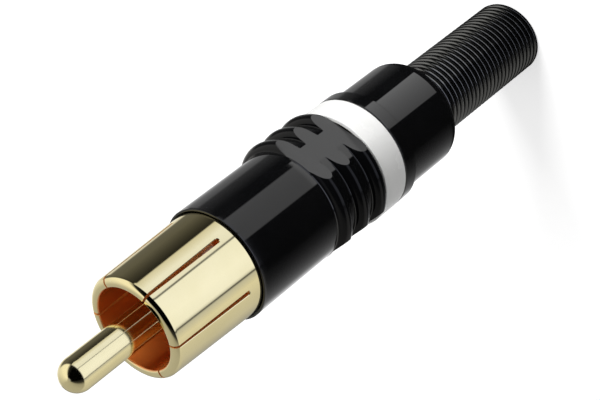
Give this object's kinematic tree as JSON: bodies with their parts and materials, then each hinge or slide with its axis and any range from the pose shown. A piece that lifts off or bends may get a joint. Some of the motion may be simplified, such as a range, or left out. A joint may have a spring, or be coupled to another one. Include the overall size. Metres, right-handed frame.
{
  "type": "rca plug",
  "caption": "Straight phono cable plug: slotted contact sleeve and round pin, ribbed shell with grip flats, colour ring, rear cap and a close-wound kink spring.",
  "frame": {"origin": "centre of the spring's ground end, which the plug stands on", "axes": "+Z along the plug's axis towards the pin's tip, -Y towards the picture's camera side"},
  "size_m": [0.0124, 0.0128, 0.065],
  "materials": {
    "gold_plate": "polished, thinly gold plated",
    "pin_gold": "polished, thinly gold plated",
    "lug_gold": "stamped, thinly gold plated",
    "shell_black": "glossy black chrome",
    "cap_black": "glossy black chrome",
    "ring_white": "glossy white",
    "spring_black": "blackened spring wire",
    "washer_grey": "matt",
    "collet_grey": "matt moulded",
    "liner_clear": "milky tube",
    "insulator_black": "turned",
    "insulator_white": "turned"
  },
  "bodies": {
    "rear_end": {"kink_spring": "spring_black", "rear_cap": "cap_black"},
    "washer": {"thrust_washer": "washer_grey"},
    "ring": {"colour_ring": "ring_white"},
    "shell": {"front_shell": "shell_black"},
    "collet": {"cable_collet": "collet_grey"},
    "liner": {"insulating_liner": "liner_clear"},
    "insert": {"contact_sleeve": "gold_plate", "centre_pin": "pin_gold", "front_insulator": "insulator_black", "rear_insulator": "insulator_white", "ground_lug": "lug_gold"}
  },
  "joints": [
    {"name": "shell_lift", "type": "slide", "parent": "rear_end", "child": "washer", "axis": [0, 0, 1], "range_m": [0, 0.012]},
    {"name": "shell_turn", "type": "hinge", "parent": "washer", "child": "ring", "pos_m": [0, 0, 0.0376], "axis": [0, 0, 1], "range_deg": [0, 1440]},
    {"name": "shell_rise", "type": "slide", "parent": "ring", "child": "shell", "axis": [0, 0, 1], "range_m": [0, 0.003]},
    {"name": "insert_lift", "type": "slide", "parent": "shell", "child": "collet", "axis": [0, 0, 1], "range_m": [0, 0.02]},
    {"name": "insert_turn", "type": "hinge", "parent": "collet", "child": "liner", "pos_m": [0, 0, 0.0468], "axis": [0, 0, 1], "range_deg": [0, 2160]},
    {"name": "insert_rise", "type": "slide", "parent": "liner", "child": "insert", "axis": [0, 0, 1], "range_m": [0, 0.0045]}
  ],
  "couplings": [
    {"joint": "shell_turn", "follows": "shell_rise", "rad_per_m": 8377.5},
    {"joint": "insert_turn", "follows": "insert_rise", "rad_per_m": 8377.5}
  ]
}
